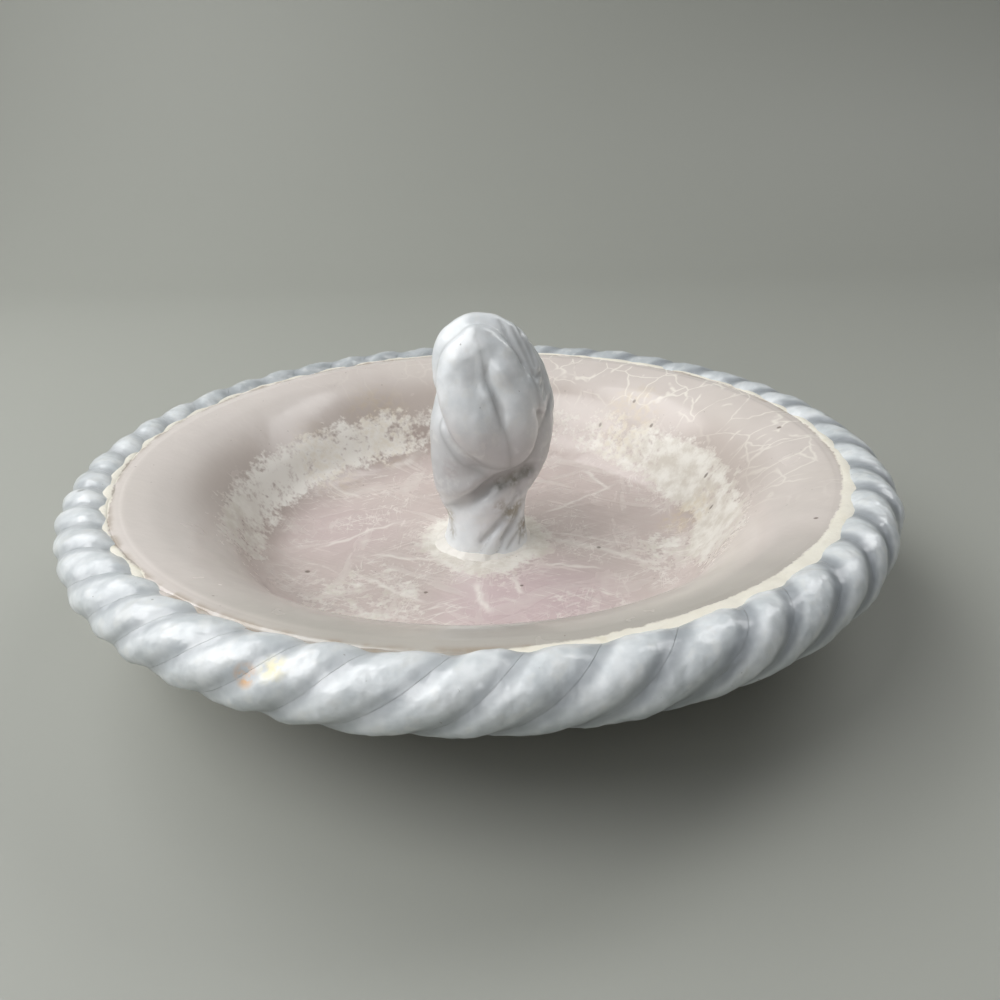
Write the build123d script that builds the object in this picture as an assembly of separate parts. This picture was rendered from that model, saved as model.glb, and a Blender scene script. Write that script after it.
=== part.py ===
from build123d import *
import math
import os

# A round ring dish of glazed clay: a shallow bowl with a sloping flange, a roped rim, and a
# short twisted post with a knotted head for the rings. Millimetres, +Z up. The origin is the
# middle of the foot ring on the table, and the photograph was taken from the -Y side.

# Driving dimensions: the roped rim
rope_circle_radius = 51.4      # centre of the dish to the middle of the rope
rope_axis_height = 17.8
rope_crest_radius = 3.65       # outside of a strand, from the middle of the rope
rope_groove_radius = 2.95      # bottom of the groove between two strands
heart_radius = 2.1             # plain coil that the strands are wound on
lay_clearance = 0.16           # between one strand and the next
seat_clearance = 0.1           # between a wound piece and what it lies on
rope_strands = 3
rope_turns = 15
sections_per_turn = 12
rope_start_angle = 27.0

# Driving dimensions: the bowl
floor_height = 4.6
post_seat_radius = 9.2         # flat middle of the floor, under the post
floor_edge_radius = 28.0
floor_edge_height = 5.2
wall_foot_radius = 32.6
wall_foot_height = 7.7
wall_middle_radius = 36.0
wall_middle_height = 12.4
shoulder_radius = 39.8
shoulder_height = 16.5
flange_middle_radius = 43.2
flange_middle_height = 18.8
flange_edge_radius = 46.6
flange_edge_rise = 2.3         # above the middle of the rope
flange_under_drop = 1.7        # below it, where the underside meets the rope
under_outer_radius = 44.4
under_outer_height = 14.0
under_middle_radius = 38.6
under_middle_height = 8.4
under_inner_radius = 33.4
under_inner_height = 2.9
foot_outer_radius = 30.4
foot_top_radius = 31.6
foot_top_height = 1.3
foot_inner_radius = 27.2
foot_recess_radius = 26.4
foot_recess_height = 1.6

# Driving dimensions: the slip in the two joints
bead_depth = 0.5               # how deep the bead is let into the flange
bead_crown_rise = 0.55         # from the flange's edge up to where the bead meets the rope
bead_bulge = 0.16
collar_spread = 2.0            # past the foot of the stem
collar_height = 1.5
collar_waist_share = 0.36      # how full the hollow face of the collar is

# Driving dimensions: the post. Its shares are of the post's height.
post_height = 34.1             # floor to the top of the knot
stem_radius_share = 0.1672
stem_foot_share = 0.1965
stem_head_share = 0.176
stem_height_share = 0.3871
stem_groove_share = 0.0249
stem_lean_share = 0.044        # how far the head of the stem stands to the right
stem_twist = 104.0             # degrees from the foot of the stem to its head
stem_groove_angles = (17, 120, 244, 269, 377)    # degrees, at the foot
stem_bulge_share = 0.35
stem_sections = 8
knot_clearance = 0.1
least_cut_share = 0.0008       # a pass that touches another by less than this isn't cut


def radial_point(azimuth, radius, height):
    return Vector(radius * math.cos(azimuth), radius * math.sin(azimuth), height)


def arc_through(start, middle, end):
    return Edge.make_three_point_arc(start, middle, end)


def loft_through(wires):
    return Solid.make_loft(wires, False)


# The bowl: one turned profile, with a cove round its edge that the rope lies in
cove_radius = rope_crest_radius + seat_clearance
flange_edge_height = rope_axis_height + flange_edge_rise
flange_under_height = rope_axis_height - flange_under_drop
bead_floor_height = flange_edge_height - bead_depth
bead_crown_height = flange_edge_height + bead_crown_rise


def cove_point(height):
    rise = height - rope_axis_height
    return (rope_circle_radius - math.sqrt(cove_radius**2 - rise**2), height)


def cove_arc(low, high):
    return ThreePointArc(cove_point(low), cove_point((low + high) / 2), cove_point(high))


flange_edge = (flange_edge_radius, flange_edge_height)
bead_corner = (flange_edge_radius, bead_floor_height)
under_edge = cove_point(flange_under_height)
foot_top = (foot_top_radius, foot_top_height)
foot_outer = (foot_outer_radius, 0)
foot_inner = (foot_inner_radius, 0)
foot_recess = (foot_recess_radius, foot_recess_height)
axis_bottom = (0, foot_recess_height)
axis_top = (0, floor_height)
post_seat_edge = (post_seat_radius, floor_height)


def turned(*edges):
    outline = Wire(edges)
    return revolve(Plane.XZ * make_face(outline), Axis.Z)


dish_bowl = turned(
    Line(axis_top, post_seat_edge),
    Spline(
        post_seat_edge,
        (floor_edge_radius, floor_edge_height),
        (wall_foot_radius, wall_foot_height),
        (wall_middle_radius, wall_middle_height),
        (shoulder_radius, shoulder_height),
        (flange_middle_radius, flange_middle_height),
        flange_edge,
    ),
    Line(flange_edge, bead_corner),
    Line(bead_corner, cove_point(bead_floor_height)),
    cove_arc(bead_floor_height, flange_under_height),
    Spline(
        under_edge,
        (under_outer_radius, under_outer_height),
        (under_middle_radius, under_middle_height),
        (under_inner_radius, under_inner_height),
        foot_top,
    ),
    Line(foot_top, foot_outer),
    Line(foot_outer, foot_inner),
    Line(foot_inner, foot_recess),
    Line(foot_recess, axis_bottom),
    Line(axis_bottom, axis_top),
)

# The cream slip bead in the joint between the flange and the rope
bead_crown = cove_point(bead_crown_height)
bead_top = (
    (flange_edge[0] + bead_crown[0]) / 2,
    (flange_edge[1] + bead_crown[1]) / 2 + bead_bulge,
)
rim_slip_bead = turned(
    Line(bead_corner, cove_point(bead_floor_height)),
    cove_arc(bead_floor_height, bead_crown_height),
    ThreePointArc(bead_crown, bead_top, flange_edge),
    Line(flange_edge, bead_corner),
)

# The rope: a plain heart coil, and the strands that wind round it
rim_heart_coil = Pos(0, 0, rope_axis_height) * Torus(rope_circle_radius, heart_radius)
strand_floor_radius = heart_radius + seat_clearance
strand_width = math.radians(360 / rope_strands)
turn_azimuth = 360 / rope_turns


def rope_point(azimuth, tube_radius, tube_angle):
    return radial_point(
        azimuth,
        rope_circle_radius + tube_radius * math.cos(tube_angle),
        rope_axis_height + tube_radius * math.sin(tube_angle),
    )


def strand_section(azimuth_degrees, strand):
    azimuth = math.radians(azimuth_degrees)
    middle = rope_turns * azimuth + math.radians(rope_start_angle) + strand * strand_width
    groove_half = strand_width / 2 - lay_clearance / 2 / rope_groove_radius
    floor_half = strand_width / 2 - lay_clearance / 2 / strand_floor_radius
    groove_low = rope_point(azimuth, rope_groove_radius, middle - groove_half)
    crest = rope_point(azimuth, rope_crest_radius, middle)
    groove_high = rope_point(azimuth, rope_groove_radius, middle + groove_half)
    floor_high = rope_point(azimuth, strand_floor_radius, middle + floor_half)
    floor_middle = rope_point(azimuth, strand_floor_radius, middle)
    floor_low = rope_point(azimuth, strand_floor_radius, middle - floor_half)
    return Wire(
        [
            arc_through(groove_low, crest, groove_high),
            Edge.make_line(groove_high, floor_high),
            arc_through(floor_high, floor_middle, floor_low),
            Edge.make_line(floor_low, groove_low),
        ]
    )


def rope_strand(strand):
    step = turn_azimuth / sections_per_turn
    one_turn = loft_through(
        [strand_section(index * step, strand) for index in range(sections_per_turn + 1)]
    )
    skin = [face for face in one_turn.faces() if face.geom_type != GeomType.PLANE]
    all_turns = [
        face.rotate(Axis.Z, turn * turn_azimuth) for turn in range(rope_turns) for face in skin
    ]
    return Solid(Shell(all_turns))


# The stem of the post: three fat strands and a thin cord, twisted together
post_foot = Vector(0, 0, floor_height)
stem_radius = post_height * stem_radius_share
stem_foot_radius = post_height * stem_foot_share
stem_head_radius = post_height * stem_head_share
stem_height = post_height * stem_height_share
stem_groove_depth = post_height * stem_groove_share
stem_lean = post_height * stem_lean_share


def stem_radius_at(share):
    flare = (stem_foot_radius - stem_radius) * (1 - share) ** 4
    swell = (stem_head_radius - stem_radius) * share**2
    return stem_radius + flare + swell


def stem_point(share, radius, angle_degrees):
    angle = math.radians(angle_degrees + stem_twist * share)
    lean = stem_lean * share**2
    return post_foot + Vector(
        lean + radius * math.cos(angle), radius * math.sin(angle), stem_height * share
    )


def stem_section(share, start, end, groove_depth):
    groove = stem_radius_at(share) - stem_groove_depth
    groove_gap = math.degrees(knot_clearance / 2 / groove)
    middle = (start + end) / 2
    inner = knot_clearance / 2 / math.sin(math.radians((end - start) / 2))
    first_groove = stem_point(share, groove, start + groove_gap)
    last_groove = stem_point(share, groove, end - groove_gap)
    axis = stem_point(share, inner, middle)
    return Wire(
        [
            arc_through(first_groove, stem_point(share, groove + groove_depth, middle), last_groove),
            Edge.make_line(last_groove, axis),
            Edge.make_line(axis, first_groove),
        ]
    )


stem_widest_angle = max(
    end - start for start, end in zip(stem_groove_angles, stem_groove_angles[1:])
)


def stem_strand(start, end):
    width_share = (end - start) / stem_widest_angle
    depth = stem_groove_depth * width_share ** stem_bulge_share
    return loft_through(
        [
            stem_section(index / stem_sections, start, end, depth)
            for index in range(stem_sections + 1)
        ]
    )


# The knot: passes of strand laid over a heart. Each row is the middle of the strand and its
# radius: right, away, up from the floor, radius.
knot_heart_shares = (
    (0.120, stem_height_share), (0.155, 0.450), (0.178, 0.540), (0.185, 0.650),
    (0.170, 0.760), (0.130, 0.850), (0.070, 0.900), (0.000, 0.915),
)
knot_axis_shares = (0.047, 0.010)
bight_left_shares = (
    (-0.010, -0.090, 0.935, 0.050), (-0.055, -0.133, 0.855, 0.086),
    (-0.064, -0.150, 0.768, 0.101), (-0.035, -0.152, 0.663, 0.114),
    (0.006, -0.150, 0.569, 0.103), (0.053, -0.132, 0.481, 0.079),
    (0.100, -0.105, 0.416, 0.047),
)
bight_right_shares = (
    (0.035, -0.105, 0.925, 0.050), (0.082, -0.142, 0.856, 0.073),
    (0.123, -0.157, 0.762, 0.086), (0.158, -0.154, 0.663, 0.083),
    (0.167, -0.146, 0.575, 0.077), (0.147, -0.128, 0.493, 0.064),
    (0.114, -0.105, 0.428, 0.040),
)
top_pass_shares = (
    (-0.095, -0.020, 0.640, 0.050), (-0.118, -0.025, 0.745, 0.073),
    (-0.100, -0.018, 0.860, 0.082), (-0.038, -0.006, 0.918, 0.080),
    (0.041, -0.005, 0.922, 0.078), (0.120, -0.030, 0.880, 0.078),
    (0.180, -0.060, 0.780, 0.072), (0.208, -0.078, 0.672, 0.058),
    (0.212, -0.078, 0.580, 0.040),
)
side_pass_shares = (
    (0.130, 0.085, 0.860, 0.070), (0.195, 0.050, 0.770, 0.072),
    (0.225, 0.020, 0.660, 0.076), (0.230, -0.005, 0.550, 0.076),
    (0.226, -0.022, 0.450, 0.076), (0.198, -0.026, 0.360, 0.072),
    (0.168, -0.022, 0.290, 0.066), (0.142, -0.010, 0.225, 0.050),
)
collar_pass_shares = (
    (-0.110, 0.070, 0.640, 0.070), (-0.126, 0.010, 0.550, 0.078),
    (-0.128, -0.045, 0.450, 0.080), (-0.114, -0.090, 0.370, 0.080),
    (-0.062, -0.132, 0.345, 0.072), (0.000, -0.142, 0.375, 0.062),
    (0.062, -0.135, 0.414, 0.050),
)
back_pass_shares = (
    (-0.080, 0.070, 0.880, 0.070), (0.010, 0.115, 0.875, 0.082),
    (0.085, 0.155, 0.795, 0.086), (0.145, 0.165, 0.690, 0.086),
    (0.185, 0.140, 0.580, 0.082), (0.190, 0.095, 0.470, 0.076),
    (0.165, 0.060, 0.375, 0.064),
)
rear_pass_shares = (
    (-0.092, 0.078, 0.745, 0.058), (-0.080, 0.115, 0.675, 0.078),
    (-0.040, 0.150, 0.590, 0.086), (0.025, 0.165, 0.500, 0.084),
    (0.095, 0.150, 0.410, 0.076), (0.130, 0.105, 0.330, 0.060),
)
low_pass_shares = (
    (-0.110, 0.040, 0.590, 0.066), (-0.116, 0.095, 0.490, 0.076),
    (-0.085, 0.140, 0.400, 0.078), (-0.010, 0.160, 0.335, 0.070),
    (0.070, 0.145, 0.290, 0.052),
)


def post_point(right_share, away_share, up_share):
    return post_foot + Vector(right_share, away_share, up_share) * post_height


def round_section(centre, along, radius):
    plane = Plane(origin=centre, x_dir=Vector(0, 1, 0).cross(along), z_dir=along)
    corners = [
        plane.from_local_coords((radius * math.cos(turn), radius * math.sin(turn)))
        for turn in [math.radians(60 * corner) for corner in range(6)]
    ]
    return Wire(
        [
            arc_through(corners[first], corners[first + 1], corners[(first + 2) % 6])
            for first in (0, 2, 4)
        ]
    )


def knot_tube(shares, extra):
    centres = [post_point(*row[:3]) for row in shares]
    ahead = centres[1:] + centres[-1:]
    behind = centres[:1] + centres[:-1]
    return loft_through(
        [
            round_section(centre, after - before, row[3] * post_height + extra)
            for centre, before, after, row in zip(centres, behind, ahead, shares)
        ]
    )


knot_heart_outline = [
    (radius * post_height, up * post_height) for radius, up in knot_heart_shares
]
knot_heart = Pos(post_point(*knot_axis_shares, 0)) * turned(
    Spline(*knot_heart_outline),
    Line(knot_heart_outline[-1], (0, knot_heart_outline[0][1])),
    Line((0, knot_heart_outline[0][1]), knot_heart_outline[0]),
)

# A plain sleeve as wide as the stem, which keeps the passes clear of it
stem_sleeve = loft_through(
    [
        round_section(
            stem_point(share, 0, 0), Vector(0, 0, 1), stem_radius_at(share) + knot_clearance
        )
        for share in [index / stem_sections for index in range(stem_sections + 1)]
    ]
)

# Each pass is cut away where an earlier one, a hair fatter, already lies
knot_passes = {
    "knot_bight_left": bight_left_shares,
    "knot_bight_right": bight_right_shares,
    "knot_top_pass": top_pass_shares,
    "knot_side_pass": side_pass_shares,
    "knot_collar_pass": collar_pass_shares,
    "knot_back_pass": back_pass_shares,
    "knot_rear_pass": rear_pass_shares,
    "knot_low_pass": low_pass_shares,
}
stem_names = ("stem_strand_back", "stem_strand_front", "stem_thin_cord", "stem_strand_right")


def laid_over(shape, earlier):
    for cutter in earlier:
        cut = max((shape - cutter).solids(), key=lambda solid: solid.volume)
        if cut.volume < shape.volume * (1 - least_cut_share):
            shape = cut
    return shape


post_nodes = {"knot_heart": knot_heart}
for name, start, end in zip(stem_names, stem_groove_angles, stem_groove_angles[1:]):
    post_nodes[name] = stem_strand(start, end)
laid = [knot_heart, stem_sleeve]
for name, shares in knot_passes.items():
    post_nodes[name] = laid_over(knot_tube(shares, 0), laid)
    laid.append(knot_tube(shares, knot_clearance))

# The cream slip that closes the joint between the post and the floor
collar_inner_radius = stem_foot_radius + knot_clearance / 2
collar_radius = stem_foot_radius + collar_spread
collar_foot = (collar_radius, floor_height)
collar_top = (collar_inner_radius, floor_height + collar_height)
collar_waist = (
    collar_inner_radius + (collar_radius - collar_inner_radius) * collar_waist_share,
    floor_height + collar_height * collar_waist_share,
)
post_slip_collar = turned(
    Line((collar_inner_radius, floor_height), collar_foot),
    ThreePointArc(collar_foot, collar_waist, collar_top),
    Line(collar_top, (collar_inner_radius, floor_height)),
)

nodes = {
    "dish_bowl": dish_bowl,
    "rim_slip_bead": rim_slip_bead,
    "rim_heart_coil": rim_heart_coil,
    **{f"rim_strand_{strand + 1}": rope_strand(strand) for strand in range(rope_strands)},
    "post_slip_collar": post_slip_collar,
    **post_nodes,
}
os.makedirs("parts", exist_ok=True)
for name, shape in nodes.items():
    export_step(shape, f"parts/{name}.step")
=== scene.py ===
# %% [markdown]
# # A ring dish of glazed clay
#
# The dish is a shallow turned bowl with a rope of clay laid round its edge and a short post of
# knotted clay rope in the middle, which holds finger rings. This lesson dresses its packed
# frame: the frame gives the true sizes and places, and the cells below give each piece the
# uneven, glazed surface of a thing made by hand.

import math

import bmesh
import bpy
import numpy as np
from mathutils import Matrix, Vector


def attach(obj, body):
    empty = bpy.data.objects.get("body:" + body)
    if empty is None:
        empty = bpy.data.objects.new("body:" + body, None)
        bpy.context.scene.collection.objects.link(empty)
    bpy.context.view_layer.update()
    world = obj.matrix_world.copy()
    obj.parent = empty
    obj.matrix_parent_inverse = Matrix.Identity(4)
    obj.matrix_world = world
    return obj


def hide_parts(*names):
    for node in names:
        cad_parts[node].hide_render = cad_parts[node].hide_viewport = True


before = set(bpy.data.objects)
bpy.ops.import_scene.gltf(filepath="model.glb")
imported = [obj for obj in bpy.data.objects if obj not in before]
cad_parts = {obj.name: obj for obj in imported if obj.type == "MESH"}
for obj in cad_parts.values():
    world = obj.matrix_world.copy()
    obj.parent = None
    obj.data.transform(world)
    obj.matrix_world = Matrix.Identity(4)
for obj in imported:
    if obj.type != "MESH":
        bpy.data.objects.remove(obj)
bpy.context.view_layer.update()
mm = 0.001

# %% [markdown]
# ## The camera
#
# The photograph was taken from close to the dish, a little above it. A short lens
# close up makes the near rim large and the far rim small, so the lens and the distance matter as
# much as the angle. The view is aimed a little to the side of the dish, so the camera's axes are
# worked out from its height, its roll and two small turns, and not from a target.

# %% Place the camera
camera_height_angle = math.radians(21.2)
camera_roll = math.radians(-1.71)
camera_distance = 108.25 * mm
aim_height = 20.56 * mm
lens_pixels = 750
picture_pixels = 1000
sensor_width = 36
aim_shift_pixels = (-19.5, 59.7)


def unit(vector):
    return Vector(vector).normalized()


def camera_axes():
    """Right, up and back of the camera, and the way from the dish to it."""
    back = Vector((0, -math.cos(camera_height_angle), math.sin(camera_height_angle)))
    right = Vector((1, 0, 0))
    up = back.cross(right)
    turned_right = math.cos(camera_roll) * right + math.sin(camera_roll) * up
    turned_up = -math.sin(camera_roll) * right + math.cos(camera_roll) * up
    across = math.atan2(aim_shift_pixels[0], lens_pixels)
    along = math.atan2(aim_shift_pixels[1], math.hypot(lens_pixels, aim_shift_pixels[0]))
    side = math.cos(across) * turned_right - math.sin(across) * back
    ahead = -math.sin(across) * turned_right - math.cos(across) * back
    top = math.cos(along) * turned_up + math.sin(along) * ahead
    ahead = -math.sin(along) * turned_up + math.cos(along) * ahead
    return side, top, -ahead, back


side, top, behind, back = camera_axes()
camera = bpy.data.objects.new("camera", bpy.data.cameras.new("camera"))
bpy.context.scene.collection.objects.link(camera)
camera.matrix_world = Matrix.Translation(
    back * camera_distance + Vector((0, 0, aim_height))
) @ Matrix((side, top, behind)).transposed().to_4x4()
camera.data.sensor_width = sensor_width
camera.data.lens = sensor_width * lens_pixels / picture_pixels
camera.data.clip_start = 2 * mm
bpy.context.scene.camera = camera
print("camera at", [round(v / mm, 1) for v in camera.location])

# %% [markdown]
# ## Materials as expressions
#
# Every finish below is a small program of shader nodes. Wiring nodes by hand hides the idea, so
# one class wraps a socket and lets Python's own signs add the Math nodes.

# %% A socket that can be added and multiplied
class Reading:
    """What a node's socket gives at each point, ready for arithmetic."""

    def __init__(self, tree, socket):
        self.tree = tree
        self.socket = socket

    def _sum(self, operation, *values):
        return self.tree.add("Math", dict(enumerate(values)), operation=operation)

    def __add__(self, other):
        return self._sum("ADD", self, other)

    __radd__ = __add__

    def __sub__(self, other):
        return self._sum("SUBTRACT", self, other)

    def __rsub__(self, other):
        return self._sum("SUBTRACT", other, self)

    def __mul__(self, other):
        return self._sum("MULTIPLY", self, other)

    __rmul__ = __mul__

    def __truediv__(self, other):
        return self._sum("DIVIDE", self, other)

    def __rtruediv__(self, other):
        return self._sum("DIVIDE", other, self)

    def __pow__(self, other):
        return self._sum("POWER", self, other)

    def sin(self):
        return self._sum("SINE", self)

    def cos(self):
        return self._sum("COSINE", self)

    def root(self):
        return self._sum("SQRT", self)

    def size(self):
        return self._sum("ABSOLUTE", self)

    def part(self):
        return self._sum("FRACT", self)

    def at_least(self, other):
        return self._sum("MAXIMUM", self, other)

    def at_most(self, other):
        return self._sum("MINIMUM", self, other)

    def angle_from(self, other):
        return self._sum("ARCTAN2", self, other)

    def step(self, low, high, start=0.0, end=1.0):
        """An easy step from start, where this is low, to end, where it is high."""
        return self.tree.add(
            "MapRange", {0: self, 1: low, 2: high, 3: start, 4: end},
            interpolation_type="SMOOTHSTEP",
        )


# %% Colours, and a tree that makes any node from its type, settings and sockets
def screen_colour(red, green, blue):
    """A colour read off a screen, 0 to 255, as the linear light that a shader wants."""
    linear = [
        value / 12.92 if value <= 0.04045 else ((value + 0.055) / 1.055) ** 2.4
        for value in (red / 255, green / 255, blue / 255)
    ]
    return (*linear, 1)


class Tree:
    """The nodes of one material or one Geometry Nodes group."""

    shared_kinds = (
        "Math", "VectorMath", "Mix", "MapRange", "FloatCurve", "CombineXYZ", "SeparateXYZ",
        "TexNoise", "TexVoronoi",
    )

    def __init__(self, nodes, links, family):
        self.nodes = nodes
        self.links = links
        self.family = family

    def add(self, kind, sockets=None, out=0, **settings):
        """A new node with its settings and sockets filled, read at one of its outputs."""
        if kind.startswith("NodeGroup"):
            family = ""
        else:
            family = "ShaderNode" if kind in self.shared_kinds else self.family
        node = self.nodes.new(family + kind)
        for name, value in settings.items():
            setattr(node, name, value)
        for name, value in (sockets or {}).items():
            socket = node.inputs[name]
            if isinstance(value, Reading):
                self.links.new(value.socket, socket)
            else:
                socket.default_value = value
        return Reading(self, node.outputs[out]) if len(node.outputs) else None

    def place(self, x, y, z=0.0):
        return self.add("CombineXYZ", {0: x, 1: y, 2: z})

    def noise(self, place, number, size, detail, rough=0.5):
        """Soft random cloud from 0 to 1, in patches as wide as size."""
        return self.add(
            "TexNoise",
            {"Vector": place, "W": number, "Scale": 1 / size, "Detail": detail, "Roughness": rough},
            noise_dimensions="4D",
        )

    def curve(self, value, stops):
        """A smooth curve through (in, out) pairs that run from 0 to 1."""
        reading = self.add("FloatCurve", {"Value": value})
        mapping = reading.socket.node.mapping
        points = mapping.curves[0].points
        points[0].location, points[1].location = stops[0], stops[-1]
        for stop in stops[1:-1]:
            points.new(*stop)
        mapping.update()
        return reading

    def blend(self, factor, first, second):
        """A mix of two colours, each a reading or three numbers off a screen."""
        first, second = (
            screen_colour(*colour) if isinstance(colour, tuple) else colour
            for colour in (first, second)
        )
        return self.add(
            "Mix", {0: factor, 6: first, 7: second}, out=2, data_type="RGBA", clamp_factor=True
        )


def new_material(name):
    material = bpy.data.materials.new(name)
    material.use_nodes = True
    material.node_tree.nodes.clear()
    return material, Tree(material.node_tree.nodes, material.node_tree.links, "ShaderNode")


print("helpers ready")

# %% [markdown]
# ## The table and the light
#
# The dish stands on a plain table that curves up into the wall. The photograph has no single
# lamp: daylight comes from the left, from high and low, and a wide pale room lies behind on the
# right. One big lamp would leave the rope's grooves flat, so four soft windows and one wide lamp
# stand where the light comes from. The world gives almost nothing, so that the rim's shadow
# stays dark.

# %% Table, wall and lamps
def mesh_object(name, points, faces):
    mesh = bpy.data.meshes.new(name)
    mesh.from_pydata([tuple(point) for point in points], [], [tuple(face) for face in faces])
    mesh.validate()
    piece = bpy.data.objects.new(name, mesh)
    bpy.context.scene.collection.objects.link(piece)
    return piece


def shade_smooth(piece):
    piece.data.polygons.foreach_set("use_smooth", [True] * len(piece.data.polygons))
    piece.data.update()


table_near_edge = -1.6
table_far_edge = 0.25
table_half_width = 2.0
wall_bend = 0.2
wall_top = 1.2
table_colour = (160, 162, 155)


def table_and_wall():
    """One sheet: flat, then bent up, then straight up."""
    outline = [(table_near_edge, 0), (table_far_edge, 0)]
    for turn in np.linspace(0.1, math.pi / 2, 16):
        away = table_far_edge + wall_bend * math.sin(turn)
        outline.append((away, wall_bend - wall_bend * math.cos(turn)))
    outline.append((table_far_edge + wall_bend, wall_top))
    sides = (-table_half_width, table_half_width)
    points = [(x, away, up) for away, up in outline for x in sides]
    faces = [(2 * i, 2 * i + 1, 2 * i + 3, 2 * i + 2) for i in range(len(outline) - 1)]
    sheet = mesh_object("table", points, faces)
    shade_smooth(sheet)
    paint, tree = new_material("table_paint")
    shader = tree.add(
        "BsdfPrincipled", {"Base Color": screen_colour(*table_colour), "Roughness": 0.6}
    )
    tree.add("OutputMaterial", {"Surface": shader})
    sheet.data.materials.append(paint)
    return sheet


table = table_and_wall()


def soft_lamp(name, direction, distance, width, power):
    """A round lamp that looks at the dish, its distance and width in metres."""
    lamp = bpy.data.objects.new(name, bpy.data.lights.new(name, "AREA"))
    lamp.data.shape = "DISK"
    lamp.data.size = width
    lamp.data.energy = power
    lamp.location = unit(direction) * distance
    lamp.rotation_euler = unit(direction).to_track_quat("Z", "Y").to_euler()
    bpy.context.scene.collection.objects.link(lamp)


soft_lamp("window", (-0.56, -0.26, 0.79), 0.5, 0.34, 1.35)
soft_lamp("front_window", (-0.15, -0.7, 0.7), 0.8, 0.5, 1.15)
soft_lamp("side_window", (-0.5, 0.35, 0.79), 0.55, 0.32, 0.9)
soft_lamp("low_window", (-0.88, 0.0, 0.47), 0.6, 0.4, 0.8)
soft_lamp("room", (0.5, 0.5, 0.7), 0.9, 0.6, 3.4)
world = bpy.data.worlds.new("room_light")
world.use_nodes = True
sky = world.node_tree.nodes["Background"].inputs
sky["Color"].default_value = (0.94, 0.97, 1.0, 1)
sky["Strength"].default_value = 0.03
bpy.context.scene.world = world
bpy.context.scene.view_settings.view_transform = "Standard"
print("table, wall, four windows and the room's lamp")

# %% [markdown]
# ## The glazes
#
# The dish has three finishes: a pink glaze inside the bowl, a blue-grey glaze on the rope and
# the post, and bare cream slip in the joints. A glaze is never one colour. It is thin and pale on
# a high edge, thick and dark in a hollow, and it wears through to the cream clay where rings
# rub. Some colours are painted light and shade as well: darker hollows, undersides, walls and
# near flange, a paler left flange and whiter wear on a shaded wall. Pictures of wear would be
# quicker, but nodes keep sharp close up and fit any size.

# %% Where a point is on the dish, and the noises that every finish uses
class Spot:
    """The place that a material is looking at, in millimetres from the middle of the dish."""

    def __init__(self, tree):
        self.tree = tree
        object_place = tree.add("TexCoord", out=3)
        self.place = tree.add(
            "VectorMath", {0: object_place, "Scale": 1 / mm}, operation="SCALE"
        )
        parts = tree.add("SeparateXYZ", {0: self.place}).socket.node
        self.x, self.y, self.z = (Reading(tree, socket) for socket in parts.outputs)
        self.radius = (self.x * self.x + self.y * self.y).root()
        self.turn = (self.y.angle_from(self.x) / (2 * math.pi) + 1).part()

    def noise(self, size, seed, detail=2.0, rough=0.5, place=None):
        return self.tree.noise(place or self.place, seed * 3.7, size, detail, rough)

    def cracks(self, size, seed, width, bend=0.6, place=None):
        """1 on the thin lines of a net, 0 between them, with meshes as wide as size."""
        wander = self.tree.add(
            "TexNoise", {"Vector": self.place, "Scale": 1.4 / size}, out=1, noise_dimensions="3D"
        )
        bent = self.tree.add(
            "VectorMath", {0: wander, 1: (size * bend,) * 3, 2: place or self.place},
            operation="MULTIPLY_ADD",
        )
        moved = self.tree.add("VectorMath", {0: bent, 1: (seed * 91.0, 0, 0)}, operation="ADD")
        edge = self.tree.add(
            "TexVoronoi", {"Vector": moved, "Scale": 1 / size}, feature="DISTANCE_TO_EDGE"
        )
        return edge.step(width / size, 0.0)

    def near(self, x, y, reach, soft=None):
        """1 at a place on the dish, falling to 0 a reach away from it."""
        across, along = self.x - x, self.y - y
        away = (across * across + along * along).root()
        return away.step(reach, reach * 0.4 if soft is None else soft)

    def patches(self, table):
        """The sum of soft round patches: right, away, reach and strength of each."""
        total = 0.0
        for x, y, reach, strength in table:
            total = self.near(x, y, reach) * strength + total
        return total

    def around_place(self, x, y, z, reach):
        """1 at a place in space, falling to 0 a reach away from it."""
        across, along, up = self.x - x, self.y - y, self.z - z
        away = (across * across + along * along + up * up).root()
        return away.step(reach, reach * 0.2)

    def strokes(self, degrees, size, seed, length):
        """Noise drawn out along one direction on the dish, as a rag or a brush leaves it."""
        turn = math.radians(degrees)
        bend = (self.noise(17, seed + 60, 1.0) - 0.5) * 7
        along = self.x * math.cos(turn) + self.y * math.sin(turn)
        across = self.y * math.cos(turn) - self.x * math.sin(turn) + bend
        place = self.tree.place(along / length, across, self.z * 0.3)
        return self.noise(size, seed, 3.0, 0.6, place)

    def along_line(self, start, end, width):
        """1 on a straight line on the dish, fading at its sides and its ends."""
        run = (end[0] - start[0], end[1] - start[1])
        length = math.hypot(*run)
        away = (self.x - start[0], self.y - start[1])
        share = (away[0] * run[0] + away[1] * run[1]) / length**2
        wander = (self.noise(3.0, 70, 1.0) - 0.5) * 2.2
        off = (away[0] * run[1] - away[1] * run[0]) / length + wander
        return off.size().step(width, 0.0) * (share - 0.5).size().step(0.52, 0.3)

    def around(self, stops):
        """A value that changes round the dish, from (degrees, value) pairs that start at 0."""
        shares = [(degrees / 360, value) for degrees, value in stops]
        return self.tree.curve(self.turn, shares + [(1.0, shares[0][1])])


def finish_material(tree, colour, roughness, height, bump_distance, coat, level):
    """Fired clay: a body that shines a little under a clear coat of glaze."""
    bump = tree.add("Bump", {"Height": height, "Distance": bump_distance, "Strength": 1.0})
    shader = tree.add(
        "BsdfPrincipled",
        {"Base Color": colour, "Roughness": roughness, "Normal": bump, "Coat Weight": coat,
         "Coat Roughness": 0.08, "Specular IOR Level": level},
    )
    tree.add("OutputMaterial", {"Surface": shader})


print("spot readings ready")

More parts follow.
